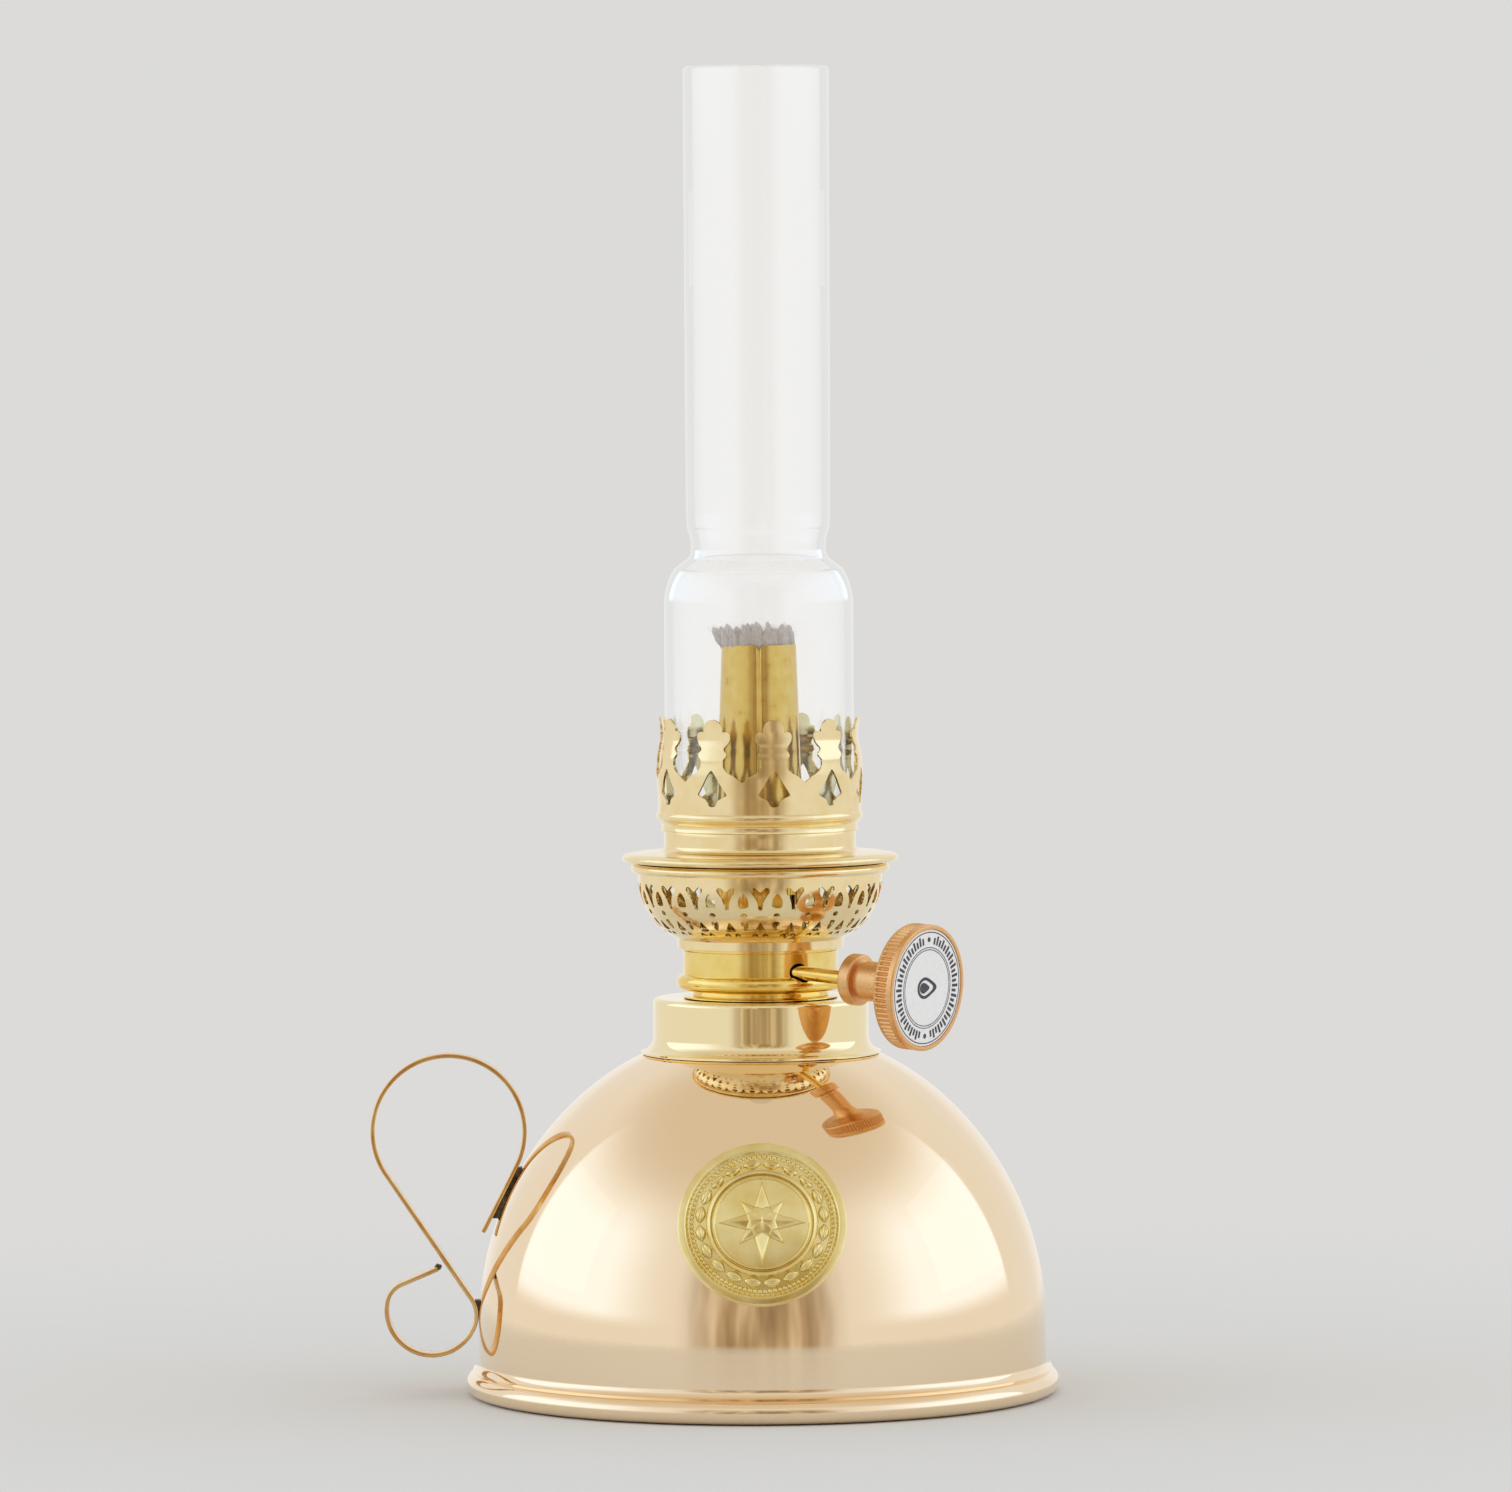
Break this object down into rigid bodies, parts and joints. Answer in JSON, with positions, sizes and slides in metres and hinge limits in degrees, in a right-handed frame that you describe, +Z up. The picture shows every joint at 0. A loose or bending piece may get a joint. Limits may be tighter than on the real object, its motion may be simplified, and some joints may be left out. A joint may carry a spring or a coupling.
{
  "type": "oil lamp",
  "caption": "Polished brass table oil lamp with domed font, strip handle, screw-in round-wick burner with side knob, lift-off gallery and tall glass chimney.",
  "frame": {"origin": "middle of the base plate's flat underside, on the lamp's axis, where it stands on a table", "axes": "+Z up along the wick tube and chimney; -Y is the front, with the medallion; the handle is at -X and the raiser knob towards +X, -Y"},
  "size_m": [0.124, 0.1072, 0.2386],
  "materials": {
    "font_brass": "mirror polished and lacquered",
    "base_brass": "plain drawn brass",
    "medal_brass": "pressed, satin",
    "strap_brass": "rolled strip, polished",
    "solder": "dull soft solder",
    "washer": "oiled",
    "burner_brass": "polished",
    "tube_brass": "plain drawn brass",
    "knob_brass": "matt, brushed",
    "label": "printed white enamel",
    "wick": "woven cotton",
    "glass": "clear, fire polished"
  },
  "bodies": {
    "font": {"font_shell": "font_brass", "base_plate": "base_brass", "font_collar": "font_brass", "thread_ring": "base_brass", "medallion": "medal_brass", "handle_strap": "strap_brass", "handle_solder": "solder"},
    "washer": {"burner_washer": "washer"},
    "burner": {"burner_base": "burner_brass", "burner_floor": "burner_brass", "wick_tube": "tube_brass", "draft_tube": "tube_brass", "vent_tube": "tube_brass", "air_basket": "burner_brass", "shaft_bracket": "tube_brass"},
    "knob": {"raiser_shaft": "tube_brass", "wick_wheels": "tube_brass", "knob_hub": "knob_brass", "knob_disc": "knob_brass", "knob_label": "label"},
    "wick": {"wick": "wick"},
    "gallery": {"gallery_flange": "burner_brass", "gallery_crown": "burner_brass"},
    "chimney": {"glass_chimney": "glass"}
  },
  "joints": [
    {"name": "burner_rise", "type": "slide", "parent": "font", "child": "washer", "axis": [0, 0, 1], "range_m": [0, 0.0064]},
    {"name": "burner_turn", "type": "hinge", "parent": "washer", "child": "burner", "pos_m": [0, 0, 0.0713], "axis": [0, 0, 1], "range_deg": [0, 1260]},
    {"name": "knob_turn", "type": "hinge", "parent": "burner", "child": "knob", "pos_m": [-0.00338, -0.00465, 0.0772], "axis": [0.8075, -0.5867, -0.061], "range_deg": [-196, 65]},
    {"name": "wick_travel", "type": "slide", "parent": "burner", "child": "wick", "axis": [0, 0, 1], "range_m": [-0.012, 0.004]},
    {"name": "gallery_lift", "type": "slide", "parent": "burner", "child": "gallery", "axis": [0, 0, 1], "range_m": [0, 0.045]},
    {"name": "chimney_lift", "type": "slide", "parent": "gallery", "child": "chimney", "axis": [0, 0, 1], "range_m": [0, 0.04]}
  ],
  "couplings": [
    {"joint": "burner_rise", "follows": "burner_turn", "m_per_rad": 0.00028648},
    {"joint": "wick_travel", "follows": "knob_turn", "m_per_rad": 0.0035}
  ]
}
